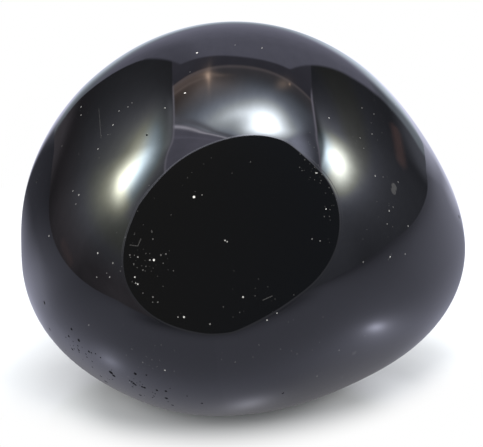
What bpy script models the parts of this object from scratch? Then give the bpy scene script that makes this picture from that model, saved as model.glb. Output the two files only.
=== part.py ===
"""A tumbled black onyx pebble: one solid stone, worn round from a broken block, with a small flat to rest on.

Metres, +Z up, front towards -Y. The origin is at the middle of the stone's box, on the surface it rests on.
"""

import math

import bmesh
import bpy
from mathutils import Vector

MILLIMETRE = 0.001

# The broken block the stone was tumbled from, seen from its heart. Each rough face is given by the way it
# faced (degrees round from the front towards the right, degrees up) and how far out it lay (millimetres).
ROUGH_FACES = {
    "front low": (8, -42, 23.0),
    "front right shoulder": (46, 36, 25.0),
    "right low": (82, -32, 27.5),
    "back right shoulder": (114, 42, 27.0),
    "back underside": (170, -34, 13.0),
    "back": (178, 10, 15.5),
    "back left shoulder": (-118, 32, 36.5),
    "left low": (-84, -40, 21.0),
    "left shoulder": (-66, 38, 27.5),
    "left crown": (-58, 48, 32.0),
    "underside": (54, -86, 20.5),
}
ROUNDING = 2.15  # how the rough faces run into one another: 2 is fully rounded, 10 would leave crisp edges
REST_BELOW_HEART = 13.2  # depth of the flat that the stone rests on, below its heart, in millimetres
MESH_FINENESS = 5  # icosphere subdivisions: 5,120 facets, about 1.3 mm across

ONYX_COLOUR = (0.006, 0.006, 0.007, 1.0)
ONYX_ROUGHNESS = 0.06
ONYX_IOR = 1.54


def direction(around, up):
    """The unit vector for an angle round from the front (-Y) towards the right (+X) and an angle up."""
    around = math.radians(around)
    up = math.radians(up)
    return Vector((math.sin(around) * math.cos(up), -math.cos(around) * math.cos(up), math.sin(up)))


def worn_surface(outward, faces):
    """The point of the worn stone that lies in the direction outward from its heart.

    Each rough face pulls the surface in by how squarely outward meets it, over the face's distance. The
    pulls are summed as powers, so where two faces meet they share the corner and round it off.
    """
    pull = 0.0
    for facing, distance in faces:
        squareness = max(0.0, outward.dot(facing))
        pull += (squareness / distance) ** ROUNDING
    return outward / pull ** (1.0 / ROUNDING)


def onyx_material():
    material = bpy.data.materials.new("polished black onyx")
    material.use_nodes = True
    shader = material.node_tree.nodes["Principled BSDF"]
    shader.inputs["Base Color"].default_value = ONYX_COLOUR
    shader.inputs["Roughness"].default_value = ONYX_ROUGHNESS
    shader.inputs["Metallic"].default_value = 0.0
    shader.inputs["IOR"].default_value = ONYX_IOR
    return material


def rest_flat(mesh):
    """Cuts the little flat under the stone and closes it with one face."""
    depth = REST_BELOW_HEART * MILLIMETRE
    everything = mesh.verts[:] + mesh.edges[:] + mesh.faces[:]
    cut = bmesh.ops.bisect_plane(
        mesh, geom=everything, dist=1e-7, plane_co=(0.0, 0.0, -depth), plane_no=(0.0, 0.0, -1.0), clear_outer=True
    )
    rim = [item for item in cut["geom_cut"] if isinstance(item, bmesh.types.BMEdge)]
    bmesh.ops.contextual_create(mesh, geom=rim)


def stand_on_origin(mesh):
    """Moves the stone so that the middle of its box is over the origin and its flat is at height zero."""
    lowest = Vector([min(vertex.co[axis] for vertex in mesh.verts) for axis in range(3)])
    highest = Vector([max(vertex.co[axis] for vertex in mesh.verts) for axis in range(3)])
    middle = (lowest + highest) / 2
    bmesh.ops.translate(mesh, verts=mesh.verts, vec=(-middle.x, -middle.y, -lowest.z))


def make_stone():
    faces = [(direction(around, up), distance * MILLIMETRE) for around, up, distance in ROUGH_FACES.values()]
    mesh = bmesh.new()
    bmesh.ops.create_icosphere(mesh, subdivisions=MESH_FINENESS, radius=1.0)
    for vertex in mesh.verts:
        vertex.co = worn_surface(vertex.co.normalized(), faces)
    rest_flat(mesh)
    bmesh.ops.recalc_face_normals(mesh, faces=mesh.faces)
    stand_on_origin(mesh)

    data = bpy.data.meshes.new("stone")
    mesh.to_mesh(data)
    mesh.free()
    data.shade_smooth()
    data.set_sharp_from_angle(angle=math.radians(20))
    data.materials.append(onyx_material())
    stone = bpy.data.objects.new("stone", data)
    bpy.context.scene.collection.objects.link(stone)
    return stone


for old in list(bpy.data.objects):
    bpy.data.objects.remove(old, do_unlink=True)

make_stone()
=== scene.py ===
import math
import random

import bmesh
import bpy
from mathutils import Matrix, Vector
from mathutils.geometry import intersect_point_line
from mathutils.kdtree import KDTree


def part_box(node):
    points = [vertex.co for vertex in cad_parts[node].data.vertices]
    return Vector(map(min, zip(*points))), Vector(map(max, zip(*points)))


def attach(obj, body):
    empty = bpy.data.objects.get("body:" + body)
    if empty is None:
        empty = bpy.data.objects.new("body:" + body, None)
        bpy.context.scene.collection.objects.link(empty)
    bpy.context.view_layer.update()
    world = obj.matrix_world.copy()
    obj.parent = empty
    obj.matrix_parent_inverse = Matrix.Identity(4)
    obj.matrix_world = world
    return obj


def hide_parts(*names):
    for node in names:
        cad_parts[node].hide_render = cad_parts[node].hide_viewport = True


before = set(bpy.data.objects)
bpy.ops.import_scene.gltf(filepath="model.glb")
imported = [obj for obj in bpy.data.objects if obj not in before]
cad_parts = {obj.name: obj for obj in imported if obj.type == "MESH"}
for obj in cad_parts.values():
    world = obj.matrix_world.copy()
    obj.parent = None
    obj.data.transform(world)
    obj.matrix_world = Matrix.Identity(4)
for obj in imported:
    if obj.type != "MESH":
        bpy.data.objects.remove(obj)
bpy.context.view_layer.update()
scene = bpy.context.scene

# ---------------------------------------------------------------- the camera
# A long lens close to the stone, looking down on it from the front. It comes first because the
# marks on the stone are placed by where they are seen from here.

MM = 0.001
VIEW_WIDTH = 483  # pixels
VIEW_HEIGHT = 447
LENS = 100.0  # millimetres, as is the sensor
SENSOR = 36.0
LOOKS_DOWN = 21.7  # degrees
LOOKS_AT = Vector((0.085, 6.07, 15.09)) * MM
CAMERA_AWAY = 126.65 * MM
CLOSEST_SEEN = 10 * MM
FURTHEST_SEEN = 10.0


def direction(around, up):
    """The unit vector so many degrees round from the front (-Y) towards the right (+X), and so many up."""
    around = math.radians(around)
    up = math.radians(up)
    return Vector((math.sin(around) * math.cos(up), -math.cos(around) * math.cos(up), math.sin(up)))


camera_data = bpy.data.cameras.new("camera")
camera_data.lens = LENS
camera_data.sensor_width = SENSOR
camera_data.clip_start = CLOSEST_SEEN
camera_data.clip_end = FURTHEST_SEEN
camera = bpy.data.objects.new("camera", camera_data)
scene.collection.objects.link(camera)
scene.camera = camera
camera_back = direction(0, LOOKS_DOWN)
camera.location = LOOKS_AT + camera_back * CAMERA_AWAY
camera.rotation_mode = "QUATERNION"
camera.rotation_quaternion = (-camera_back).to_track_quat("-Z", "Y")
bpy.context.view_layer.update()


def on_the_stone(across, down):
    """Where the stone is seen in the camera's view, so many pixels across and down it, or None beside it."""
    per_pixel = SENSOR / VIEW_WIDTH
    ray = Vector(((across - VIEW_WIDTH / 2) * per_pixel, (VIEW_HEIGHT / 2 - down) * per_pixel, -LENS))
    ray = camera.rotation_quaternion @ ray
    hit, point, _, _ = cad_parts["stone"].ray_cast(camera.location, ray.normalized())
    return point if hit else None


# ---------------------------------------------------------------- the stone
# One piece of black onyx, broken from a block and tumbled with ever finer grit until every corner
# was round and the skin took a glassy polish. Small soft inclusions fell out of it and left pits.

# The broken block's rough faces, seen from the stone's heart: the way each one faced (degrees round from
# the front, degrees up) and how far out it lay (millimetres).
ROUGH_FACES = {
    "front low": (8, -42, 23.0),
    "front right shoulder": (46, 36, 25.0),
    "right low": (82, -32, 27.5),
    "back right shoulder": (114, 42, 27.0),
    "back underside": (170, -34, 13.0),
    "back": (178, 10, 15.5),
    "back left shoulder": (-118, 32, 36.5),
    "left low": (-84, -40, 21.0),
    "left shoulder": (-66, 38, 27.5),
    "left crown": (-58, 48, 32.0),
    "underside": (54, -86, 20.5),
}
FACES = [(direction(around, up), distance * MM) for around, up, distance in ROUGH_FACES.values()]
ROUNDING = 2.15  # how the rough faces run into one another: 2 is fully rounded, 10 leaves crisp edges
REST_BELOW_HEART = 13.2 * MM  # how deep under the heart the flat lies that the stone rests on
FLAT_EDGE = 0.05 * MM  # how softly the skin turns into the flat
CLEAR_OF_FLAT = 30  # from so many edge widths over the flat, nothing of it is felt
HEART_FINENESS = 5  # icosphere subdivisions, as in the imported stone
SKIN_FINENESS = 7
MARK_LEVELS = 4  # how many times the skin is split again under a mark
MARK_RIM = 1.15  # how far past a mark's radius its skin is split
EDGE_REACH = 0.6  # and by what share of an edge's length
WIDEST_MARK = 0.03  # as a share of the way out from the heart

# Marks are placed by pixels across and down the camera's view, and their widths are in millimetres.
# Pits in the polish, with how wide each is.
PITS = [
    (44.6, 302.6, 0.35), (50, 329, 0.3), (71.6, 329, 0.28), (69, 336, 0.25), (79, 340, 0.33),
    (72.6, 349, 0.3), (79, 350, 0.25), (89, 351.5, 0.25), (111, 372.4, 0.43), (114, 375.5, 0.35),
    (101, 376, 0.25), (106, 381.6, 0.38), (135.4, 373.5, 0.3), (132, 381.6, 0.25), (133.6, 383, 0.3),
    (135.6, 384.6, 0.25), (142.4, 386.6, 0.25), (144.6, 387.4, 0.28), (140.5, 395, 0.28), (157, 390, 0.25),
    (166, 391, 0.25), (166.5, 398, 0.33), (172.6, 405, 0.25), (202, 403, 0.22), (283, 393, 0.25),
    (147, 135, 0.2), (459, 217, 0.38),
]
PIT_STEEPNESS = 0.7
PIT_ROUNDNESS = 1.5
PIT_CRISPNESS = 3  # how quickly the polish gives way at a pit's rim

# Finer pits lie in swarms round them: the swarm's middle, how far it spreads each way, and how many.
PIT_SWARMS = [
    (76, 346, 6, 5, 10), (92, 356, 6, 4, 7), (106, 377, 7, 4, 8), (138, 381, 6, 6, 9), (158, 394, 12, 5, 8),
]
PIT_SWARM_WIDTHS = (0.1, 0.18)

# Pale specks on the stone, partly grains caught in it and partly painted glints on tiny pits, with how wide
# each is and how pale.
GRAINS_AND_GLINTS = [
    (197, 53, 0.2, 0.9), (262, 48, 0.14, 0.38), (185, 93, 0.18, 0.9), (165, 108, 0.14, 0.38),
    (113, 125, 0.16, 0.38), (81, 107, 0.2, 0.38), (81, 115, 0.16, 0.38), (98, 149, 0.16, 0.38),
    (119, 111, 0.14, 0.38), (128, 107, 0.14, 0.2), (132, 103, 0.12, 0.2), (73, 191, 0.16, 0.2),
    (79, 195, 0.18, 0.38), (76, 204, 0.14, 0.2), (40, 175, 0.14, 0.2), (62, 146, 0.14, 0.2),
    (194, 197, 0.22, 0.9), (329, 118, 0.14, 0.38), (362, 108, 0.14, 0.2), (374, 114, 0.14, 0.2),
    (372, 134, 0.14, 0.2), (360, 138, 0.12, 0.2), (375, 176, 0.14, 0.38), (326, 209, 0.12, 0.6),
    (317, 173, 0.12, 0.38), (389, 211, 0.16, 0.38), (393, 207, 0.12, 0.2), (49, 236, 0.18, 0.5),
    (98, 253, 0.16, 0.5), (97, 277, 0.14, 0.2), (110, 277, 0.12, 0.38), (154, 260, 0.18, 0.9),
    (135, 277, 0.14, 0.6), (138, 284, 0.14, 0.6), (225, 240.4, 0.13, 0.45), (227.2, 241.6, 0.12, 0.35),
    (184, 317, 0.16, 0.7), (210, 324, 0.14, 0.2), (89, 325, 0.14, 0.2), (165, 370, 0.14, 0.38),
    (243, 297, 0.16, 0.5), (267, 320, 0.14, 0.38), (277, 313, 0.12, 0.38), (390, 257, 0.14, 0.6),
    (405, 254, 0.12, 0.38), (363, 262, 0.14, 0.2), (312, 239, 0.12, 0.2), (320, 241, 0.12, 0.2),
    (317, 376, 0.14, 0.2), (339, 350, 0.12, 0.2), (342, 377, 0.12, 0.2), (408, 226, 0.14, 0.5),
    (387, 224, 0.12, 0.25), (398, 182, 0.14, 0.25), (383, 177, 0.1, 0.15), (316, 173, 0.12, 0.5),
    (113, 263, 0.16, 0.2), (107, 273, 0.1, 0.15), (138, 257, 0.14, 0.25), (130, 255, 0.12, 0.15),
    (166, 254, 0.14, 0.12), (161, 255, 0.14, 0.12), (150, 260, 0.12, 0.4), (152, 232, 0.1, 0.12),
    (153, 239, 0.12, 0.12), (143, 270, 0.12, 0.12), (153, 297, 0.16, 0.12), (158, 302, 0.12, 0.15),
    (143, 293, 0.1, 0.12), (178, 317, 0.12, 0.3), (235, 45, 0.1, 0.25), (190, 72, 0.1, 0.2),
    (202, 195, 0.1, 0.25), (136, 283, 0.12, 0.4), (394, 187, 0.8, 0.055), (393.5, 191, 0.75, 0.05),
    (354, 353, 0.5, 0.03),
]
GRAIN_AND_GLINT_CRISPNESS = 2

# Fainter specks lie in swarms, partly grains and partly painted glints: the swarm's middle, how far it
# spreads each way, and how many.
SWARMS = [
    (146, 250, 13, 20, 42), (311, 168, 6, 13, 26), (327, 205, 4, 16, 14), (153, 362, 14, 8, 16),
    (260, 345, 70, 16, 22), (95, 128, 14, 18, 14), (362, 128, 16, 18, 14), (235, 298, 45, 14, 16),
    (215, 170, 40, 18, 14), (385, 215, 14, 22, 12),
]
SWARM_WIDTHS = (0.05, 0.11)
SWARM_PALENESSES = (0.02, 0.13)
SWARM_SEED = 7
NOT_PALE = (0.0, 0.0)

# The sides turned away carry marks like these, scattered between these degrees round and up.
AWAY_ROUND = (80, 290)
AWAY_UP = (-45, 60)
AWAY_DISTANCE = 18 * MM  # about how far out the skin lies there
AWAY_PITS = 16
AWAY_PIT_WIDTHS = (0.2, 0.4)
AWAY_GRAINS_AND_GLINTS = 60
AWAY_GRAIN_AND_GLINT_WIDTHS = (0.06, 0.17)
AWAY_PALENESSES = (0.03, 0.4)

# Fine scratches, each from one place to another.
SCRATCHES = [
    (99, 109, 101, 138), (130, 245, 138, 246), (138, 246, 141, 239), (388, 260, 391.5, 254),
    (263, 300, 272, 296),
]
SCRATCH_WIDTH = 0.08
SCRATCH_PALENESS = 0.06
SCRATCH_STEP = 0.7  # pixels

# Brown patches under the polish, each along a line, with half its width and how strong it is.
BROWN_PATCHES = [(396, 131, 401, 160, 1.05, 0.9), (63, 243, 71, 262, 0.6, 0.3)]
PATCH_SOFTNESS = 1.5

ONYX_BLACK = (0.001, 0.001, 0.0011, 1)
ONYX_BROWN = (0.024, 0.0125, 0.01, 1)
# The pale colour of the grains and of the painted glints alike.
GRAIN_AND_GLINT_WHITE = (0.75, 0.73, 0.69, 1)
ONYX_IOR = 1.54
POLISH_ROUGHNESS = 0.025
PIT_ROUGHNESS = 0.5  # what a pit adds to it
GRAIN_AND_GLINT_ROUGHNESS = 0.3
MARK_EDGE = (0.1, 0.6)  # where in a mark its roughness sets in


def worn_surface(outward):
    """The point of the worn stone that lies in the direction outward from its heart."""
    pull = 0.0
    for facing, distance in FACES:
        pull += (max(0.0, outward.dot(facing)) / distance) ** ROUNDING
    return outward / pull ** (1.0 / ROUNDING)


def worn_normal(point):
    """The way the worn stone faces at a point measured from its heart."""
    slope = Vector((0.0, 0.0, 0.0))
    for facing, distance in FACES:
        slope += facing * (max(0.0, point.dot(facing)) / distance) ** (ROUNDING - 1.0) / distance
    return slope.normalized()


def rubbed_flat(height):
    """A height from the heart, raised to the flat underneath, and how much of the slope is left there."""
    over = (height + REST_BELOW_HEART) / FLAT_EDGE
    if over > CLEAR_OF_FLAT:
        return height, 1.0
    share = math.exp(over)
    return FLAT_EDGE * math.log1p(share) - REST_BELOW_HEART, share / (1.0 + share)


def stone_heart():
    """Where the heart lies in the frame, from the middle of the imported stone's box."""
    ball = bmesh.new()
    bmesh.ops.create_icosphere(ball, subdivisions=HEART_FINENESS, radius=1.0)
    points = [worn_surface(vertex.co.normalized()) for vertex in ball.verts]
    ball.free()
    low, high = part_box("stone")
    heart = Vector((0.0, 0.0, low.z + REST_BELOW_HEART))
    for axis in (0, 1):
        along = [point[axis] for point in points]
        heart[axis] = (low[axis] + high[axis]) / 2 - (min(along) + max(along)) / 2
    return heart


HEART = stone_heart()


def seen_marks(marks):
    """Turns marks in the view into directions from the heart, radii as shares of the way out, palenesses."""
    found = []
    for across, down, width, paleness in marks:
        point = on_the_stone(across, down)
        if point is not None:
            outward = point - HEART
            found.append((outward.normalized(), width * MM / 2 / outward.length, paleness))
    return found


def swarm_marks(swarms, widths, palenesses, chance):
    """Marks scattered round the middles of the swarms."""
    found = []
    for across, down, spread_across, spread_down, count in swarms:
        for _ in range(count):
            place = (chance.gauss(across, spread_across), chance.gauss(down, spread_down))
            found.append((*place, chance.uniform(*widths), chance.uniform(*palenesses)))
    return seen_marks(found)


def scratch_marks():
    """The scratches, as rows of tiny grains."""
    found = []
    for left, top, right, bottom in SCRATCHES:
        steps = int(math.dist((left, top), (right, bottom)) / SCRATCH_STEP)
        for step in range(steps + 1):
            share = step / steps
            place = (left + (right - left) * share, top + (bottom - top) * share)
            found.append((*place, SCRATCH_WIDTH, SCRATCH_PALENESS))
    return seen_marks(found)


def marks_turned_away(count, widths, palenesses, chance):
    """Marks scattered over the sides that the camera does not see."""
    found = []
    for _ in range(count):
        towards = direction(chance.uniform(*AWAY_ROUND), chance.uniform(*AWAY_UP))
        radius = chance.uniform(*widths) * MM / 2 / AWAY_DISTANCE
        found.append((towards, radius, chance.uniform(*palenesses)))
    return found


def stone_marks():
    """The stone's pits, and its grains, painted glints and scratches."""
    chance = random.Random(SWARM_SEED)
    pits = seen_marks([(*pit, 0.0) for pit in PITS])
    pits += swarm_marks(PIT_SWARMS, PIT_SWARM_WIDTHS, NOT_PALE, chance)
    pits += marks_turned_away(AWAY_PITS, AWAY_PIT_WIDTHS, NOT_PALE, chance)
    grains_and_glints = seen_marks(GRAINS_AND_GLINTS) + scratch_marks()
    grains_and_glints += swarm_marks(SWARMS, SWARM_WIDTHS, SWARM_PALENESSES, chance)
    grains_and_glints += marks_turned_away(AWAY_GRAINS_AND_GLINTS, AWAY_GRAIN_AND_GLINT_WIDTHS, AWAY_PALENESSES, chance)
    return pits, grains_and_glints


def finder_of(marks):
    """A tree that finds the marks near a direction."""
    finder = KDTree(len(marks))
    for index, mark in enumerate(marks):
        finder.insert(mark[0], index)
    finder.balance()
    return finder


def finer_near(ball, marks, finder):
    """Splits the ball's skin in two, level by level, near the marks."""
    for _ in range(MARK_LEVELS):
        near = []
        for edge in ball.edges:
            middle = (edge.verts[0].co + edge.verts[1].co) / 2
            _, index, away = finder.find(middle)
            reach = marks[index][1] * MARK_RIM + edge.calc_length() * EDGE_REACH
            if away < reach:
                near.append(edge)
        bmesh.ops.subdivide_edges(ball, edges=near, cuts=1)
        bmesh.ops.triangulate(ball, faces=[face for face in ball.faces if len(face.verts) > 3])
        for vertex in ball.verts:
            vertex.co.normalize()


def made_object(name, mesh):
    """Turns a finished bmesh into an object at the origin."""
    data = bpy.data.meshes.new(name)
    mesh.to_mesh(data)
    mesh.free()
    made = bpy.data.objects.new(name, data)
    scene.collection.objects.link(made)
    return made


def brown_patches():
    """The brown patches, each from one point to another, measured from the heart."""
    patches = []
    for left, top, right, bottom, half, strength in BROWN_PATCHES:
        ends = (on_the_stone(left, top) - HEART, on_the_stone(right, bottom) - HEART)
        patches.append((*ends, half * MM, strength))
    return patches


def brown_at(point, patches):
    """How brown the stone is at a point measured from its heart."""
    brown = 0.0
    for start, end, half, strength in patches:
        _, share = intersect_point_line(point, start, end)
        off = (point - start.lerp(end, min(1.0, max(0.0, share)))).length / half
        brown = max(brown, strength * max(0.0, 1.0 - off * off) ** PATCH_SOFTNESS)
    return brown


def make_stone():
    """The worn stone with its pits dented in, and with layers that say where the marks are."""
    pits, grains_and_glints = stone_marks()
    marks = pits + grains_and_glints
    finder = finder_of(marks)
    patches = brown_patches()
    mesh = bmesh.new()
    bmesh.ops.create_icosphere(mesh, subdivisions=SKIN_FINENESS, radius=1.0)
    finer_near(mesh, marks, finder)

    pit_layer = mesh.verts.layers.float.new("pit")
    grain_and_glint_layer = mesh.verts.layers.float.new("grain_and_glint")
    brown_layer = mesh.verts.layers.float.new("brown")
    normals = []
    pitted = set()
    for index, vertex in enumerate(mesh.verts):
        outward = vertex.co.normalized()
        point = worn_surface(outward)
        normal = worn_normal(point)
        vertex[brown_layer] = brown_at(point, patches)
        for _, found, away in finder.find_range(outward, WIDEST_MARK):
            _, radius, paleness = marks[found]
            share = max(0.0, 1.0 - (away / radius) ** 2)
            if found >= len(pits):
                pale = paleness * min(1.0, GRAIN_AND_GLINT_CRISPNESS * share)
                vertex[grain_and_glint_layer] = max(vertex[grain_and_glint_layer], pale)
            elif share > 0.0:
                width = radius * point.length * 2
                point -= normal * (share ** PIT_ROUNDNESS * width * PIT_STEEPNESS)
                pitted.add(index)
                vertex[pit_layer] = max(vertex[pit_layer], min(1.0, PIT_CRISPNESS * share))
        height, slope = rubbed_flat(point.z)
        point.z = height
        normals.append(Vector((normal.x * slope, normal.y * slope, normal.z)).normalized())
        vertex.co = HEART + point

    bmesh.ops.recalc_face_normals(mesh, faces=mesh.faces)
    stone = made_object("onyx-stone", mesh)
    stone.data.shade_smooth()
    for index in pitted:
        normals[index] = stone.data.vertices[index].normal.copy()
    stone.data.normals_split_custom_set_from_vertices(normals)
    return stone


class Socket:
    """A shader node's output. Arithmetic on it adds Math nodes, and node() adds any other node."""

    def __init__(self, tree, output=None):
        self.tree = tree
        self.output = output

    def node(self, kind, settings=None, inputs=None, result=0):
        """Adds a node: its settings first, then the values or links of its sockets, by name or number."""
        made = self.tree.nodes.new(kind)
        for name, value in (settings or {}).items():
            setattr(made, name, value)
        for name, value in (inputs or {}).items():
            if isinstance(value, Socket):
                self.tree.links.new(value.output, made.inputs[name])
            else:
                made.inputs[name].default_value = value
        return Socket(self.tree, made.outputs[result] if len(made.outputs) else None)

    def math(self, operation, *values):
        return self.node("ShaderNodeMath", {"operation": operation}, dict(enumerate(values)))

    def __add__(self, other):
        return self.math("ADD", self, other)

    __radd__ = __add__

    def __sub__(self, other):
        return self.math("SUBTRACT", self, other)

    def __rsub__(self, other):
        return self.math("SUBTRACT", other, self)

    def __neg__(self):
        return 0.0 - self

    def __mul__(self, other):
        return self.math("MULTIPLY", self, other)

    __rmul__ = __mul__

    def __truediv__(self, other):
        return self.math("DIVIDE", self, other)

    def __rtruediv__(self, other):
        return self.math("DIVIDE", other, self)

    def __pow__(self, other):
        return self.math("POWER", self, other)

    def __rpow__(self, other):
        return self.math("POWER", other, self)

    def squared(self):
        return self * self

    def at_least(self, lowest):
        return self.math("MAXIMUM", self, lowest)

    def degrees_round(self, ahead):
        """The angle, in degrees, of a place this far to one side and so far ahead."""
        return self.math("ARCTAN2", self, ahead) * math.degrees(1)

    def above(self, start, end):
        """0 below start and 1 above end, rising smoothly between them."""
        settings = {"interpolation_type": "SMOOTHSTEP"}
        return self.node("ShaderNodeMapRange", settings, {0: self, 1: start, 2: end, 3: 0.0, 4: 1.0})

    def below(self, start, end):
        """1 below start and 0 above end, falling smoothly between them."""
        return 1.0 - self.above(start, end)

    def bell(self, middle, width):
        """1 at the middle, falling to nearly 0 two widths from it."""
        return math.e ** -((self - middle) / width).squared()

    def vector(self, operation, *values, result=0):
        return self.node("ShaderNodeVectorMath", {"operation": operation}, dict(enumerate(values)), result)

    def dot(self, other):
        return self.vector("DOT_PRODUCT", self, other, result="Value")

    def tinted(self, tint):
        """A colour, made this bright."""
        return self.node("ShaderNodeVectorMath", {"operation": "SCALE"}, {0: tint, "Scale": self})

    def mix(self, share, first, second):
        """The first colour mixed towards the second."""
        return self.node("ShaderNodeMix", {"data_type": "RGBA"}, {0: share, 6: first, 7: second}, result=2)

    def mixed(self, share, colour):
        """This colour mixed towards another."""
        return self.mix(share, self, colour)


def new_material(name):
    """A material with an empty tree, and a Socket to add its nodes from."""
    material = bpy.data.materials.new(name)
    material.use_nodes = True
    material.node_tree.nodes.clear()
    return material, Socket(material.node_tree)


def polished_onyx():
    material, tree = new_material("polished black onyx")
    pit = tree.node("ShaderNodeAttribute", {"attribute_name": "pit"}, result="Fac")
    grain_and_glint = tree.node("ShaderNodeAttribute", {"attribute_name": "grain_and_glint"}, result="Fac")
    brown = tree.node("ShaderNodeAttribute", {"attribute_name": "brown"}, result="Fac")
    # The pale specks are grains and painted glints alike.
    colour = tree.mix(brown, ONYX_BLACK, ONYX_BROWN).mixed(grain_and_glint, GRAIN_AND_GLINT_WHITE)
    roughness = POLISH_ROUGHNESS + pit.above(*MARK_EDGE) * PIT_ROUGHNESS
    roughness = roughness + grain_and_glint.above(*MARK_EDGE) * GRAIN_AND_GLINT_ROUGHNESS
    surface = tree.node("ShaderNodeBsdfPrincipled", None,
                        {"Base Color": colour, "Roughness": roughness, "IOR": ONYX_IOR})
    tree.node("ShaderNodeOutputMaterial", None, {"Surface": surface})
    return material


stone = make_stone()
stone.data.materials.append(polished_onyx())
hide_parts("stone")
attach(stone, "root")

# ---------------------------------------------------------------- the table
# A sheet of glossy white acrylic that the stone stands on. It is bright enough to show as plain
# white, and its far edge melts into the white behind it. The polish sees it as a painted glow of its
# light, shade and mirrored lamps, and painted shade lies in its colour beside the stone.

TABLE_SIDE = 3.0
ACRYLIC_WHITE = (0.775, 0.8, 0.815)
ACRYLIC_ROUGHNESS = 0.1
ACRYLIC_IOR = 1.49
BARE_WHITE = (1.0, 1.0, 1.0, 1.0)
RIGHTWARD = (1, 0, 0)
BACKWARD = (0, 1, 0)
UPWARD = (0, 0, 1)

# The table's brightness in the polish, painted as glow, where 1 is full white.
LEFT_TONE = 0.06
LEFT_LIFT = 0.38  # what the left side gains towards the front
LEFT_GLOW = 0.25  # and close behind the stone
RIGHT_TONE = 0.46
RIGHT_DIMMING = 0.2
FRONT_LIFT = 0.25
FRONT_DIMMING = 0.15
UNDER_OPENING = 0.58  # how much the dark opening takes from the table in front
FRONT_RIGHT_SHADE = 0.22
FRONT_RIGHT_RING = (21.0, 7.0)  # how far out it lies, in millimetres, and how wide it is
SWEEP_ON_TABLE = 0.95  # the lit sweep, mirrored behind the stone
SWEEP_LIFT = 0.42
SWEEP_NARROWER = 8.0  # degrees, close to the stone
# The painted shade under the stone.
FOOT_TONE = 0.2  # what is left of the light under the stone
FOOT_REACH = (8.7, 27.5)  # where the stone's shade clears, in millimetres from its foot
TABLE_TINT = (1.0, 0.99, 1.06)
CLEAR_TINT = (0.98, 1.0, 1.25)

# Painted reflections of the lamps in the table's gloss, as the polish sees them: where each lies, in
# millimetres right of and behind the stone's foot, how wide it is and how strong.
PAINTED_LAMP_REFLECTIONS = [
    (26.7, -13.8, 3.4, 1.9),
    (26.7, -13.8, 9.0, 0.5),
    (-19.1, -19.3, 4.0, 0.7),
    (-22.0, -21.0, 8.0, 0.35),
    (2.8, -17.8, 4.0, 0.5),
]
MIRRORED_FALL = 3.0  # how fast they fall off

# Painted shade in the table's colour where the stone's shade gathers beside it, in millimetres right of and
# behind its foot, and how deep.
PAINTED_TABLE_SHADES = [(18.6, 2.0, 0.36), (-14.6, -3.4, 0.16)]
SHADE_REACH = (0.5, 7.0)

# The shadow fades to bare white past a wide arc in front of the stone, and all round it further out.
ARC_MIDDLE = (-2.4, 60.0)
ARC_SQUASH = 0.57
ARC_FADE = (40.3, 44.1)
FAR_FADE = (42, 60)
HAZE = 0.13  # the bare white that lies over the shadow itself
HAZE_REACH = (9.4, 13.0)


def table_top():
    mesh = bmesh.new()
    bmesh.ops.create_grid(mesh, x_segments=1, y_segments=1, size=TABLE_SIDE / 2)
    return made_object("table", mesh)


def squared_distance(across, along, right, behind):
    """The square of how far a point lies from a place on the table, in millimetres."""
    return (across - right).squared() + (along - behind).squared()


def glow(tree, colour):
    """A surface that shines in this colour by itself."""
    return tree.node("ShaderNodeEmission", None, {"Color": colour})


def table_in_polish(across, along, away):
    """How the table looks in the polish, painted as glow: its light, shade and mirrored lamps, by millimetres
    right of, behind and away from the stone's foot.
    """
    to_left = (-across).degrees_round(along)
    to_right = -to_left
    forward = -along / away

    # Painted light: it is dim beside the sweep, where it mirrors the foot of the walls, and lighter towards
    # the front.
    left_side = LEFT_TONE + to_left.above(38, 88) * LEFT_LIFT
    left_side = left_side + away.below(25, 80) * to_left.below(60, 90) * LEFT_GLOW
    right_side = RIGHT_TONE - across.above(60, 240) * RIGHT_DIMMING
    tone = right_side + (left_side - right_side) * to_left.above(-1, 1)
    tone = tone + forward.above(-0.05, 0.75) * (FRONT_LIFT - away.above(70, 230) * FRONT_DIMMING)
    tone = tone * (1.0 - forward.above(0.6, 0.9) * away.above(65, 125) * UNDER_OPENING)
    front_right = (across / away).above(0.0, 0.5) * forward.above(-0.1, 0.4)
    tone = tone * (1.0 - away.bell(*FRONT_RIGHT_RING) * front_right * FRONT_RIGHT_SHADE)

    # Behind the stone lies a painted reflection of the lit sweep, which looks narrower from close by.
    narrower = away.below(70, 160) * SWEEP_NARROWER
    lit_back = to_left.below(24, 35) * (to_right - narrower).below(30, 41)
    sweep = SWEEP_ON_TABLE + to_right.above(0, 20) * away.above(90, 250) * SWEEP_LIFT
    tone = tone + lit_back * (sweep - tone)

    # Painted shade where the stone shades the table under it, and painted reflections of the lamps in the
    # table's gloss.
    clear = away.above(*FOOT_REACH)
    tone = tone * (FOOT_TONE + clear * (1.0 - FOOT_TONE))
    for right, behind, size, strength in PAINTED_LAMP_REFLECTIONS:
        off = squared_distance(across, along, right, behind) / size ** 2
        tone = tone + (off + 1.0) ** -MIRRORED_FALL * strength
    return tone.tinted(TABLE_TINT).mixed(clear, tone.tinted(CLEAR_TINT))


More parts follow.
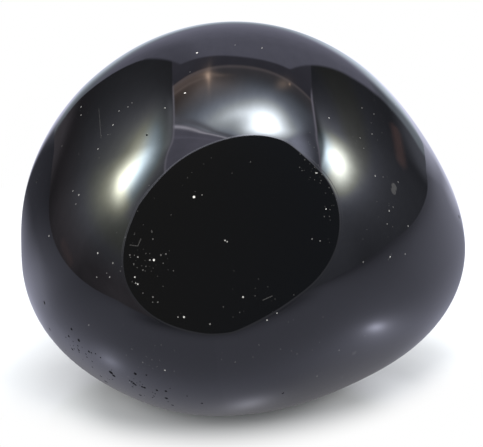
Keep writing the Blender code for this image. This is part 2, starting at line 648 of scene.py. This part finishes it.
def white_acrylic():
    material, tree = new_material("white acrylic")
    place = tree.node("ShaderNodeTexCoord", result="Object")
    from_foot = tree.vector("SUBTRACT", place, (HEART.x, HEART.y, 0.0))
    away = tree.vector("LENGTH", from_foot, result="Value") / MM
    across = from_foot.dot(RIGHTWARD) / MM
    along = from_foot.dot(BACKWARD) / MM

    # Painted shade in the table's own colour beside the stone.
    shade = 1.0
    for right, behind, depth in PAINTED_TABLE_SHADES:
        off = squared_distance(across, along, right, behind) ** 0.5
        shade = shade - off.below(*SHADE_REACH) * depth
    lit = tree.node("ShaderNodeBsdfPrincipled", None, {
        "Base Color": shade.tinted(ACRYLIC_WHITE), "Roughness": ACRYLIC_ROUGHNESS, "IOR": ACRYLIC_IOR,
    })
    arc_across = across - ARC_MIDDLE[0]
    arc_along = (along - ARC_MIDDLE[1]) * ARC_SQUASH
    arc = (arc_across.squared() + arc_along.squared()) ** 0.5
    fade = arc.above(*ARC_FADE).at_least(away.above(*FAR_FADE))
    fade = fade * (1.0 - HAZE) + away.above(*HAZE_REACH) * HAZE

    camera_ray = tree.node("ShaderNodeLightPath", result="Is Camera Ray")
    glossy_ray = tree.node("ShaderNodeLightPath", result="Is Glossy Ray")
    bare = glow(tree, BARE_WHITE)
    # Glossy rays see the table as this painted glow.
    in_polish = glow(tree, table_in_polish(across, along, away))
    surface = tree.node("ShaderNodeMixShader", None, {0: fade * camera_ray, 1: lit, 2: bare})
    surface = tree.node("ShaderNodeMixShader", None, {0: glossy_ray, 1: surface, 2: in_polish})
    tree.node("ShaderNodeOutputMaterial", None, {"Surface": surface})
    return material


table = table_top()
table.data.materials.append(white_acrylic())

# ---------------------------------------------------------------- the light tent
# A pop-up tent of thin white cloth round the stone, with a grey sweep hung at its back. The light of a
# lamp behind each side and one over the top, the lit sweep, the seams' shade and light lines and the
# glints are all painted on it as glow. Only the polish sees it; area lights light the table.

# How far its walls and roof are from the stone's heart, in millimetres.
TENT_LEFT = -228
TENT_RIGHT = 262
TENT_BACK = 324
TENT_FRONT = -140
TENT_TOP = 457.6
TENT_FOOT = -5 * MM  # it reaches a little below the table

# A lamp's painted glow through the cloth is its middle, its long and its short reach, how many degrees it is
# turned, how fast it falls off past its reach and how strong it is. On the roof, places are in millimetres
# right of and behind the stone's heart. On the walls they are in degrees round from the back, and up.
# Other pairs are where something sets in and where it is full, or a line's middle and its width.
ROOF_LAMPS = [
    (88.9, 122.6, 199.0, 118.6, 14.8, 12.0, 29.2),
    (9.1, 141.4, 69.2, 15.9, 5.4, 0.73, 8.8),
    (-105.0, 232.0, 100.0, 60.0, 0.0, 3.0, 0.6),
]
ROOF_TONE = 0.57
ROOF_DIMMING = 0.0027  # for each millimetre back
ROOF_TINT = (0.9, 1.0, 1.22)
ROOF_LIT = (1.5, 5.0)
ROOF_LIT_TINT = (0.94, 1.02, 1.1)
WARM_TINT = (1.25, 1.0, 0.92)

# The hem runs between these two points of the roof. Along it run painted light and dark lines, each so many
# degrees past it, with its width, its strength and its colour.
HEM_ENDS = [(-228, 182, 458), (-72, 92, 458)]
HEM_LINES = [
    (1.4, 0.9, 0.8, (1.05, 1.05, 1.25, 1)),
    (-0.1, 0.38, 0.9, (4.2, 4.1, 4.7, 1)),
    (-2.6, 0.5, 0.4, (1.5, 1.45, 1.9, 1)),
]
LEFT_CORNER_TONE = 0.95
LEFT_CORNER_LIFT = 0.25
LEFT_CORNER_TINT = (1.0, 0.98, 1.27)
RIGHT_CORNER_AT = (50, 60)  # its edge passes here, in degrees round and up
RIGHT_CORNER_LEAN = 0.9
RIGHT_CORNER_TONE = 0.68
RIGHT_CORNER_LIFT = 2.4
RIGHT_CORNER_TINT = (0.93, 0.98, 1.25)

# The rear seam is an arch over the sweep, brown in the painted shade of the bar that the sweep hangs from,
# with painted light lines and the lamp's painted glints on it.
REAR_SEAM_TOP = 59.6
REAR_SEAM_MIDDLE = -2.0
REAR_SEAM_CURVE = 0.0056
BAR_TONE = 0.42
BAR_LIFT = 0.35
BAR_LEFT = (12, 25)
BAR_TINT = (1.04, 0.99, 1.12)
BAR_BROWN_TINT = (1.3, 1.0, 0.92)
REAR_SEAM_LINE_AT = (0.4, 0.45)
REAR_SEAM_LINE = (1.0, 0.85, 0.9, 1)
REAR_SEAM_LINE_SHARE = 0.6
REAR_TAPE_LINE_AT = (3.0, 0.5)
REAR_TAPE_LINE = (1.4, 1.1, 1.0, 1)
REAR_TAPE_LINE_SHARE = 0.5
UNDER_REAR_SEAM = (0.29, 0.2842, 0.3683, 1)
GLINTS_LEFT = [
    (22, 59, 2.2, 1.8, 0, 2.0, 2.0),
    (22, 60, 6.0, 1.7, 45, 3.0, 0.8),
    (20, 59, 9.0, 0.9, -18.6, 3.0, 0.5),
]
GLINTS_RIGHT = [
    (30.6, 57.6, 8.0, 4.6, -35, 6.0, 0.7),
    (33.3, 55.3, 0.6, 0.4, 0, 2.0, 2.0),
]
GLINT_TINT = (1.4, 1.0, 0.74)

# Each wall's lamp is a painted broad pool of light with a longer tail under it. The seam over it is an arch,
# which shows as a painted light line.
SEAM_LINE_AT = (-0.2, 0.42)
SEAM_LINE_SHARE = 0.8
LEFT_LAMPS = [(75.3, 46.9, 23.4, 9.3, -8.6, 4.2, 28.0), (75.3, 38.7, 14.5, 8.7, -8.6, 1.0, 2.24)]
LEFT_SEAM_TOP = 59.5
LEFT_SEAM_CREST = 62.0  # degrees round
LEFT_SEAM_DROP = 9.0 / 24.0 ** 2
LEFT_WALL_LIFT = 0.13  # towards the front
LEFT_WALL_RISE = 1.0 / 30.0  # for each degree up
LEFT_LAMP_AT_REAR = 0.51  # how much of the lamp's light is left there
LEFT_LAMP_TOP_CUT = 0.22
LEFT_REAR_FOOT_GLOW = 0.08
LEFT_UNDER_SEAM_GLOW = 0.5
LEFT_FRONT_FOOT_GLOW = 0.07
LEFT_FRONT_GLOW = 0.17
LEFT_FRONT_DIP = 0.06
LEFT_BAND_SHARE = 0.9
LEFT_WALL_TINT = (0.97, 1.0, 1.16)
LEFT_BAND_TINT = (1.0, 1.05, 0.95)
LEFT_FOOT_TINT = (1.07, 0.98, 1.12)
LEFT_LAMP_TINT = (1.03, 1.05, 0.86)
LEFT_LAMP_TOP_TINT = (0.84, 1.02, 1.14)
LEFT_SEAM_LINE = (1.8, 1.75, 2.1, 1)

RIGHT_LAMPS = [(75.8, 47.5, 36.8, 16.7, -16.0, 7.7, 29.0), (75.8, 39.5, 11.4, 6.8, -16.0, 1.0, 2.76)]
RIGHT_SEAM_TOP = 56.2
RIGHT_SEAM_CREST = (66.0, 70.0)  # degrees round
RIGHT_SEAM_DROP = 7.0 / 24.0 ** 2
RIGHT_SEAM_FRONT_DROP = 2.0 / 18.0 ** 2
RIGHT_WALL_TONE = 0.03
RIGHT_WALL_LIFT = 0.15
RIGHT_WALL_RISE = 0.019
RIGHT_LAMP_AT_REAR = 0.55
RIGHT_CUT_HEIGHT = 45.3  # the top of the lamp's light is cut off along a line that rises to the right
RIGHT_CUT_RISE = 0.12
RIGHT_LAMP_TOP_CUT = 0.82
RIGHT_REAR_FOOT_GLOW = 0.15
RIGHT_FRONT_GLOW = 0.15
RIGHT_BAND_SHARE = 0.7
RIGHT_WALL_TINT = (0.95, 0.99, 1.2)
RIGHT_BAND_TINT = (1.03, 1.05, 0.93)
RIGHT_LAMP_TINT = (1.0, 1.04, 0.95)
RIGHT_LAMP_TOP_TINT = (0.84, 1.0, 1.12)
RIGHT_SEAM_LINE = (1.9, 1.8, 2.2, 1)

# The sweep's sides and its arched top, in degrees, and its grey, painted as glow, with painted light from the
# table at its foot.
SWEEP_TOP = 57.0
SWEEP_TOP_MIDDLE = -3.0
SWEEP_TOP_CURVE = 0.0078
SWEEP_LEFT = 34.6
SWEEP_LEFT_STRAIGHT = 25.0  # its side starts to lean in over this height
SWEEP_LEFT_CURVE = 0.008
SWEEP_LEFT_FLARE = 0.08
SWEEP_RIGHT = 38.3
SWEEP_RIGHT_STRAIGHT = 20.0
SWEEP_RIGHT_CURVE = 0.009
SWEEP_RIGHT_FLARE = 0.1
SWEEP_FLARE_UNDER = 18.0
SWEEP_TONE = 0.43
SWEEP_RISE = 0.0075  # for each degree up
SWEEP_LEFT_DIMMING = 0.0045
SWEEP_FOOT_LIFT = 0.32
SWEEP_LEFT_FOOT = (0.25, 0.6)  # what its foot gains near the middle, and loses again at the side
SWEEP_RIGHT_FOOT = (0.65, 0.9)
SWEEP_TINT = (0.99, 0.99, 1.3)
SWEEP_FOOT_TINT = (0.89, 1.0, 1.15)

# The cloth is a little uneven: how fine the unevenness is, and how deep.
WEAVE_SCALE = 16.0
WEAVE_DETAIL = 6.0
WEAVE_ROUGHNESS = 0.65
WEAVE_DEPTH = 0.28


def lamp_light(across, along, lamps):
    """The painted glow of lamps through cloth."""
    light = 0.0
    for middle_across, middle_along, reach, short_reach, turn, fall, strength in lamps:
        off_across = across - middle_across
        off_along = along - middle_along
        cos_turn = math.cos(math.radians(turn))
        sin_turn = math.sin(math.radians(turn))
        lengthwise = (off_across * cos_turn + off_along * sin_turn) / reach
        sideways = (off_along * cos_turn - off_across * sin_turn) / short_reach
        light = light + (lengthwise.squared() + sideways.squared() + 1.0) ** -fall * strength
    return light


def roof_light(x, y):
    """The roof's painted light: brightest under its lamp, and warm and dim towards its left rear corner."""
    tone = ROOF_TONE - y * ROOF_DIMMING + lamp_light(x, y, ROOF_LAMPS)
    light = tone.tinted(ROOF_TINT).mixed(tone.above(*ROOF_LIT), tone.tinted(ROOF_LIT_TINT))
    return light.mixed(y.above(160, 260) * (-x).above(-50, 60), tone.tinted(WARM_TINT))


def front_corners(light, towards, to_right, up):
    """The painted light of the loose cloth in the front corners, left and right of the roof, and of the hem
    between.
    """
    hem_facing = Vector(HEM_ENDS[0]).cross(Vector(HEM_ENDS[1])).normalized()
    if hem_facing.y < 0:
        hem_facing = -hem_facing
    past_hem = towards.dot(tuple(hem_facing)) * math.degrees(1)
    left_corner = (LEFT_CORNER_TONE + up.above(62, 75) * LEFT_CORNER_LIFT).tinted(LEFT_CORNER_TINT)
    light = left_corner.mixed(past_hem.above(0.2, 0.8), light)
    for middle, width, strength, colour in HEM_LINES:
        light = light.mixed(past_hem.bell(middle, width) * strength, colour)
    past_edge = to_right - RIGHT_CORNER_AT[0] - (up - RIGHT_CORNER_AT[1]) * RIGHT_CORNER_LEAN
    right_share = past_edge.above(-2.0, 7.0) * up.below(66, 70)
    right_tone = RIGHT_CORNER_TONE + up.above(57.5, 66) * RIGHT_CORNER_LIFT
    return light.mixed(right_share, right_tone.tinted(RIGHT_CORNER_TINT))


def rear_seam(light, to_left, up):
    """The roof's rear seam, in the painted shade of the sweep's bar, with the lamp's painted glints on it."""
    past_rim = up - REAR_SEAM_TOP + (to_left - REAR_SEAM_MIDDLE).squared() * REAR_SEAM_CURVE
    towards_left = to_left.above(*BAR_LEFT)
    bar_tone = BAR_TONE + towards_left * BAR_LIFT
    bar = bar_tone.tinted(BAR_TINT).mixed(towards_left, bar_tone.tinted(BAR_BROWN_TINT))
    light = light.mixed(past_rim.below(0.5, 7.0), bar)
    light = light.mixed(past_rim.bell(*REAR_SEAM_LINE_AT) * REAR_SEAM_LINE_SHARE, REAR_SEAM_LINE)
    tape_line = past_rim.bell(*REAR_TAPE_LINE_AT) * to_left.above(0, 20) * REAR_TAPE_LINE_SHARE
    light = light.mixed(tape_line, REAR_TAPE_LINE)
    light = light.mixed(past_rim.below(-0.4, 0.1), UNDER_REAR_SEAM)
    glint = lamp_light(to_left, up, GLINTS_LEFT) + lamp_light(-to_left, up, GLINTS_RIGHT)
    return light.vector("ADD", light, glint.tinted(GLINT_TINT))


def left_wall(light, to_left, up):
    """The left wall's painted light under its curved seam."""
    seam = LEFT_SEAM_TOP - (LEFT_SEAM_CREST - to_left).at_least(0.0).squared() * LEFT_SEAM_DROP
    under_seam = seam - up
    lamp = lamp_light(to_left, up, LEFT_LAMPS)
    lamp_share = LEFT_LAMP_AT_REAR + to_left.above(36, 63) * (1.0 - LEFT_LAMP_AT_REAR)
    tone = to_left.above(40, 90) * (1.0 + up * LEFT_WALL_RISE) * LEFT_WALL_LIFT
    tone = tone + lamp * lamp_share * (1.0 - up.above(47.7, 58) * LEFT_LAMP_TOP_CUT)
    tone = tone + to_left.below(36, 44) * up.below(2, 12) * LEFT_REAR_FOOT_GLOW
    near_rear = to_left.above(40, 48) * to_left.below(60, 70)
    tone = tone + under_seam.bell(1.2, 1.6) * near_rear * LEFT_UNDER_SEAM_GLOW
    tone = tone + up.below(0, 8) * to_left.above(88, 100) * LEFT_FRONT_FOOT_GLOW
    tone = tone + to_left.above(100, 125) * LEFT_FRONT_GLOW - to_left.above(85, 95) * LEFT_FRONT_DIP

    # The cloth's painted light is bluish, greenish below its lamp, and yellowish to bluish in the lamp's
    # light.
    band = up.above(20, 32) * up.below(40, 47) * to_left.above(48, 64) * LEFT_BAND_SHARE
    in_lamp = lamp.above(0.3, 2.5)
    wall = tone.tinted(LEFT_WALL_TINT).mixed(band, tone.tinted(LEFT_BAND_TINT))
    wall = wall.mixed(up.below(4, 24), tone.tinted(LEFT_FOOT_TINT))
    wall = wall.mixed(in_lamp, tone.tinted(LEFT_LAMP_TINT))
    wall = wall.mixed(in_lamp * up.above(45, 52), tone.tinted(LEFT_LAMP_TOP_TINT))
    light = light.mixed(under_seam.above(-0.3, 0.5) * to_left.above(25, 26), wall)
    seam_line = under_seam.bell(*SEAM_LINE_AT) * to_left.above(36, 42) * SEAM_LINE_SHARE
    return light.mixed(seam_line, LEFT_SEAM_LINE)


def right_wall(light, to_right, up):
    """The right wall's painted light under its curved seam."""
    seam = RIGHT_SEAM_TOP - (RIGHT_SEAM_CREST[0] - to_right).at_least(0.0).squared() * RIGHT_SEAM_DROP
    seam = seam - (to_right - RIGHT_SEAM_CREST[1]).at_least(0.0).squared() * RIGHT_SEAM_FRONT_DROP
    under_seam = seam - up
    lamp = lamp_light(to_right, up, RIGHT_LAMPS)
    lamp_share = RIGHT_LAMP_AT_REAR + to_right.above(36, 55) * (1.0 - RIGHT_LAMP_AT_REAR)
    past_cut = (up - to_right * RIGHT_CUT_RISE - RIGHT_CUT_HEIGHT).above(-1.6, 1.6)
    tone = RIGHT_WALL_TONE + to_right.above(40, 90) * (1.0 + up * RIGHT_WALL_RISE) * RIGHT_WALL_LIFT
    tone = tone + lamp * lamp_share * (1.0 - past_cut * RIGHT_LAMP_TOP_CUT)
    tone = tone + to_right.below(38, 46) * up.below(2, 12) * RIGHT_REAR_FOOT_GLOW
    tone = tone + to_right.above(98, 118) * RIGHT_FRONT_GLOW

    band = up.above(25, 33) * up.below(38, 45) * to_right.below(65, 90) * RIGHT_BAND_SHARE
    in_lamp = lamp.above(0.5, 3.0)
    wall = tone.tinted(RIGHT_WALL_TINT).mixed(band, tone.tinted(RIGHT_BAND_TINT))
    wall = wall.mixed(in_lamp, tone.tinted(RIGHT_LAMP_TINT))
    wall = wall.mixed(in_lamp * up.above(47, 53), tone.tinted(RIGHT_LAMP_TOP_TINT))
    light = light.mixed(under_seam.above(-0.3, 0.5) * to_right.above(28, 29), wall)
    seam_line = under_seam.bell(*SEAM_LINE_AT) * to_right.above(39, 43) * SEAM_LINE_SHARE
    return light.mixed(seam_line, RIGHT_SEAM_LINE)


def sweep_sheet(light, to_left, up):
    """The sweep at the back, painted as glow: a sheet with an arched top edge, and sides that lean in towards
    it.
    """
    to_right = -to_left
    under_top = SWEEP_TOP - (to_left - SWEEP_TOP_MIDDLE).squared() * SWEEP_TOP_CURVE - up
    near_foot = (SWEEP_FLARE_UNDER - up).at_least(0.0)
    left_side = SWEEP_LEFT - (up - SWEEP_LEFT_STRAIGHT).at_least(0.0).squared() * SWEEP_LEFT_CURVE
    right_side = SWEEP_RIGHT - (up - SWEEP_RIGHT_STRAIGHT).at_least(0.0).squared() * SWEEP_RIGHT_CURVE
    inside_left = left_side - near_foot * SWEEP_LEFT_FLARE - to_left
    inside_right = right_side - near_foot * SWEEP_RIGHT_FLARE - to_right
    tone = SWEEP_TONE + up * SWEEP_RISE - to_left.above(16, 30) * up * SWEEP_LEFT_DIMMING
    left_foot = to_left.above(0, 8) * SWEEP_LEFT_FOOT[0] - to_left.above(19, 33) * SWEEP_LEFT_FOOT[1]
    right_foot = to_right.above(5, 20) * SWEEP_RIGHT_FOOT[0] - to_right.above(27, 36) * SWEEP_RIGHT_FOOT[1]
    tone = tone + (SWEEP_FOOT_LIFT + left_foot) * up.below(4, 16) + right_foot * up.below(10, 20)
    sweep = tone.tinted(SWEEP_TINT).mixed(up.below(8, 20), tone.tinted(SWEEP_FOOT_TINT))
    share = under_top.above(-0.3, 0.5) * inside_left.above(-0.4, 0.8) * inside_right.above(-0.4, 0.8)
    return light.mixed(share, sweep)


def finish_glow(material, tree, colour):
    """Makes a material shine in this colour. It shows in the polish, and no light is looked for on it."""
    tree.node("ShaderNodeOutputMaterial", None, {"Surface": glow(tree, colour)})
    material.cycles.emission_sampling = "NONE"
    return material


def tent_cloth():
    material, tree = new_material("tent cloth")
    place = tree.node("ShaderNodeTexCoord", result="Object")
    from_heart = tree.vector("SUBTRACT", place, tuple(HEART))
    towards = tree.vector("NORMALIZE", from_heart)
    up = tree.math("ARCSINE", towards.dot(UPWARD)) * math.degrees(1)
    to_left = (-towards.dot(RIGHTWARD)).degrees_round(towards.dot(BACKWARD))

    # The cloth's light and shade, its seams' light lines and the glints are painted on, part by part.
    light = roof_light(from_heart.dot(RIGHTWARD) / MM, from_heart.dot(BACKWARD) / MM)
    light = front_corners(light, towards, -to_left, up)
    light = rear_seam(light, to_left, up)
    light = left_wall(light, to_left, up)
    light = right_wall(light, -to_left, up)
    light = sweep_sheet(light, to_left, up)

    weave = tree.node("ShaderNodeTexNoise", None, {
        "Vector": towards, "Scale": WEAVE_SCALE, "Detail": WEAVE_DETAIL, "Roughness": WEAVE_ROUGHNESS,
    }, result="Fac")
    return finish_glow(material, tree, (1.0 - WEAVE_DEPTH / 2 + weave * WEAVE_DEPTH).tinted(light))


def only_in_polish(piece):
    """Keeps a piece out of sight, except in the stone's polish."""
    piece.visible_camera = False
    piece.visible_diffuse = False
    piece.visible_shadow = False


def light_tent():
    mesh = bmesh.new()
    bmesh.ops.create_cube(mesh, size=1.0)
    low = HEART + Vector((TENT_LEFT, TENT_FRONT, 0)) * MM
    high = HEART + Vector((TENT_RIGHT, TENT_BACK, TENT_TOP)) * MM
    low.z = TENT_FOOT
    for vertex in mesh.verts:
        vertex.co = Vector([low[axis] if vertex.co[axis] < 0 else high[axis] for axis in range(3)])
    mesh.normal_update()
    underside = [face for face in mesh.faces if face.normal.z < -0.5]
    bmesh.ops.delete(mesh, geom=underside, context="FACES_ONLY")
    return made_object("light-tent", mesh)


tent = light_tent()
tent.data.materials.append(tent_cloth())
only_in_polish(tent)

# ---------------------------------------------------------------- the tent's opening
# A rounded square cut out of the tent's front, which shows the dark room, and is made here as a dark
# card with the room's dim light painted on it as glow. Its edge is bound with a hem of the tent's cloth,
# which catches the light as a painted bright line with a fainter one outside it.

OPENING_TOWARDS = (10.9, 26.0)  # degrees round and up
OPENING_AWAY = 80 * MM
OPENING_MIDDLE = (-26.5 * MM, 93.7 * MM)
OPENING_HALF = (126.8 * MM, 152.6 * MM)
OPENING_SQUARENESS = 2.88  # 2 is an oval, and more is squarer
OPENING_STEPS = 160
OPENING_SEAM = 1.2 * MM
OPENING_HEM = 5.0 * MM
OPENING_EDGE = 2.6 * MM
# Where the cloth pulls the edge in or lets it out: degrees round from the right, by what share, how wide.
OPENING_PULLS = [(168, -0.13, 22), (17, -0.09, 18), (42, 0.03, 8)]

ROOM_LEFT = (0.148, 0.148, 0.148, 1)
ROOM_RIGHT = (0.1233, 0.137, 0.1644, 1)
ROOM_SPREAD = (-60, 70)  # millimetres right of the middle
# The binding's light is painted: brighter higher up, with a painted highlight where the top lamp meets it.
BINDING_TINT = (0.98, 1.0, 1.15)
BINDING_TONE = 0.5
BINDING_LIFTS = [((30, 100), 0.8), ((130, 200), 1.2)]  # by millimetres up from the heart
BINDING_GLEAM = 6.0  # where the top lamp meets it
BINDING_GLEAM_UP = (200, 225)
BINDING_GLEAM_AT = (32, 34)
SEAM_SHARE = 1.2  # how much brighter the seam outside the hem is


def tent_opening():
    towards = direction(*OPENING_TOWARDS)
    across = direction(OPENING_TOWARDS[0] + 90, 0)
    along = across.cross(towards)
    if along.z < 0:
        along = -along
    middle = HEART + towards * OPENING_AWAY + across * OPENING_MIDDLE[0] + along * OPENING_MIDDLE[1]
    mesh = bmesh.new()
    bmesh.ops.create_circle(mesh, cap_ends=True, segments=OPENING_STEPS, radius=1.0)
    for vertex in mesh.verts:
        size = abs(vertex.co.x) ** OPENING_SQUARENESS + abs(vertex.co.y) ** OPENING_SQUARENESS
        outline = vertex.co / size ** (1.0 / OPENING_SQUARENESS)
        turned = math.degrees(math.atan2(outline.y, outline.x))
        for turn, share, width in OPENING_PULLS:
            off = (turned - turn + 180) % 360 - 180
            outline *= 1.0 + share * math.exp(-((off / width) ** 2))
        vertex.co = middle + across * outline.x * OPENING_HALF[0] + along * outline.y * OPENING_HALF[1]
    inner = mesh.faces[:]
    rings = []
    for width in (OPENING_SEAM, OPENING_HEM, OPENING_EDGE):
        ring = bmesh.ops.inset_region(
            mesh, faces=inner, thickness=width, use_boundary=True, use_even_offset=True
        )
        rings.append(ring["faces"])
    seam, hem, edge = rings
    for face in edge:
        face.material_index = 1
    for face in seam:
        face.material_index = 2
    bmesh.ops.delete(mesh, geom=hem, context="FACES_ONLY")
    return made_object("tent-opening", mesh)


def dim_room():
    material, tree = new_material("dim room")
    rightward = tree.node("ShaderNodeTexCoord", result="Object").dot(RIGHTWARD) / MM
    return finish_glow(material, tree, tree.mix(rightward.above(*ROOM_SPREAD), ROOM_LEFT, ROOM_RIGHT))


def edge_binding(name, share):
    material, tree = new_material(name)
    place = tree.node("ShaderNodeTexCoord", result="Object")
    height = (place.dot(UPWARD) - HEART.z) / MM
    rightward = place.dot(RIGHTWARD) / MM
    tone = BINDING_TONE + height.above(*BINDING_GLEAM_UP) * rightward.bell(*BINDING_GLEAM_AT) * BINDING_GLEAM
    for reach, lift in BINDING_LIFTS:
        tone = tone + height.above(*reach) * lift
    return finish_glow(material, tree, (tone * share).tinted(BINDING_TINT))


opening = tent_opening()
opening.data.materials.append(dim_room())
opening.data.materials.append(edge_binding("edge binding", 1.0))
opening.data.materials.append(edge_binding("binding seam", SEAM_SHARE))
only_in_polish(opening)

# ---------------------------------------------------------------- the lamps
# Four soft lamps light the table and give the stone its shadow. The polish sees the tent's cloth,
# with their light painted on it, in their place, and the pale room lights what they leave.

# Each lamp's place in millimetres from the stone's heart, its width, its watts and its colour.
LAMPS = {
    "left lamp": ((-200, 250, 250), 150, 0.9, (1.0, 1.0, 0.98)),
    "right lamp": ((200, 250, 250), 150, 0.6, (0.98, 0.99, 1.0)),
    "top lamp": ((88, 123, TENT_TOP), 200, 0.85, (0.97, 0.99, 1.0)),
    "front lamp": ((0, -300, 265), 400, 2.0, (1.0, 1.0, 1.0)),
}
ROOM_LIGHT = 0.4  # how strongly the room lights the table, where 1 shows as white


def soft_lamp(name, place, width, power, colour):
    data = bpy.data.lights.new(name, "AREA")
    data.shape = "DISK"
    data.size = width * MM
    data.energy = power
    data.color = colour
    lamp = bpy.data.objects.new(name, data)
    scene.collection.objects.link(lamp)
    lamp.location = HEART + Vector(place) * MM
    lamp.rotation_mode = "QUATERNION"
    lamp.rotation_quaternion = Vector(place).to_track_quat("Z", "Y")
    lamp.visible_glossy = False
    lamp.visible_camera = False


def pale_room():
    world = bpy.data.worlds.new("pale room")
    world.use_nodes = True
    world.node_tree.nodes.clear()
    tree = Socket(world.node_tree)
    seen = tree.node("ShaderNodeLightPath", result="Is Camera Ray")
    strength = ROOM_LIGHT + seen * (1.0 - ROOM_LIGHT)
    shine = tree.node("ShaderNodeBackground", None, {"Color": BARE_WHITE, "Strength": strength})
    tree.node("ShaderNodeOutputWorld", None, {"Surface": shine})
    return world


for lamp_name, lamp_facts in LAMPS.items():
    soft_lamp(lamp_name, *lamp_facts)
scene.world = pale_room()
scene.view_settings.view_transform = "Standard"
